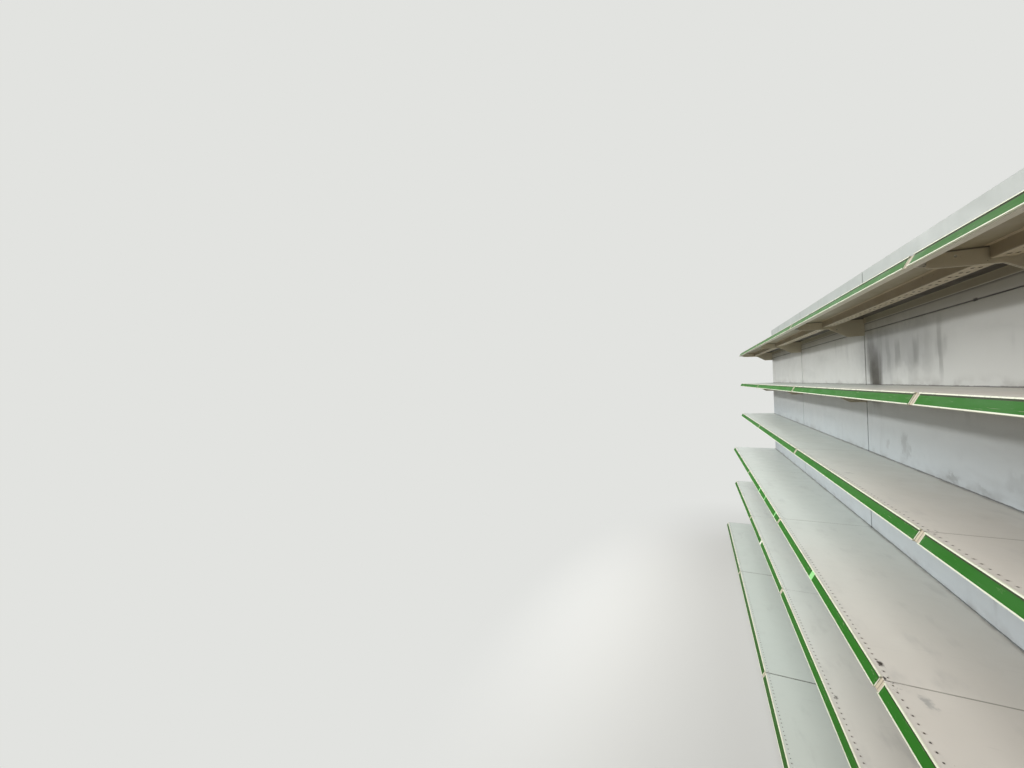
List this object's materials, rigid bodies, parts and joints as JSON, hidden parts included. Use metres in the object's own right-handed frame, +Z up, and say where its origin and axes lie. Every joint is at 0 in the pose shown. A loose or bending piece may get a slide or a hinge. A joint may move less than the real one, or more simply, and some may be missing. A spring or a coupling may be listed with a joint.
{
  "type": "wall shelving run",
  "caption": "Steel shop wall shelving: slotted uprights on base legs, folded back panels, base deck and hung shelves on hooked brackets, each with a green price channel",
  "frame": {"origin": "bottom centre of the bounding box, on the floor under the middle upright", "axes": "+X along the run, to the right of a shopper who faces the shelves; -Y is the open front and +Y the wall side; +Z is up"},
  "size_m": [5.36, 0.5946, 2.416],
  "materials": {
    "uprights": "light grey powder coat, satin",
    "caps": "moulded grey plastic",
    "legs": "light grey powder coat, satin",
    "feet": "black plastic foot on a steel stem",
    "kick": "light grey powder coat, scuffed",
    "panels": "white-grey powder coat, smeared",
    "decks": "grey-white powder coat, chipped at the corners",
    "stiffeners": "grey-white powder coat",
    "brackets": "grey-white powder coat",
    "price_channels": "extruded cream plastic",
    "price_inserts": "green plastic strip"
  },
  "bodies": {
    "root": {"left_end_upright": "uprights", "middle_uprights": "uprights", "right_end_upright": "uprights", "upright_caps": "caps", "left_end_leg": "legs", "middle_legs": "legs", "right_end_leg": "legs", "levelling_feet": "feet", "kick_plates": "kick", "bottom_back_panels": "panels", "lower_back_panels": "panels", "upper_back_panels": "panels", "top_back_panels": "panels", "base_decks": "decks", "shelf_1_decks": "decks", "shelf_2_decks": "decks", "shelf_3_decks": "decks", "shelf_4_decks": "decks", "shelf_5_decks": "decks", "base_stiffeners": "stiffeners", "shelf_1_stiffeners": "stiffeners", "shelf_2_stiffeners": "stiffeners", "shelf_3_stiffeners": "stiffeners", "shelf_4_stiffeners": "stiffeners", "shelf_5_stiffeners": "stiffeners", "shelf_1_brackets": "brackets", "shelf_2_brackets": "brackets", "shelf_3_brackets": "brackets", "shelf_4_brackets": "brackets", "shelf_5_brackets": "brackets", "base_price_channels": "price_channels", "shelf_1_price_channels": "price_channels", "shelf_2_price_channels": "price_channels", "shelf_3_price_channels": "price_channels", "shelf_4_price_channels": "price_channels", "shelf_5_price_channels": "price_channels", "base_price_inserts": "price_inserts", "shelf_1_price_inserts": "price_inserts", "shelf_2_price_inserts": "price_inserts", "shelf_3_price_inserts": "price_inserts", "shelf_4_price_inserts": "price_inserts", "shelf_5_price_inserts": "price_inserts"}
  },
  "joints": []
}
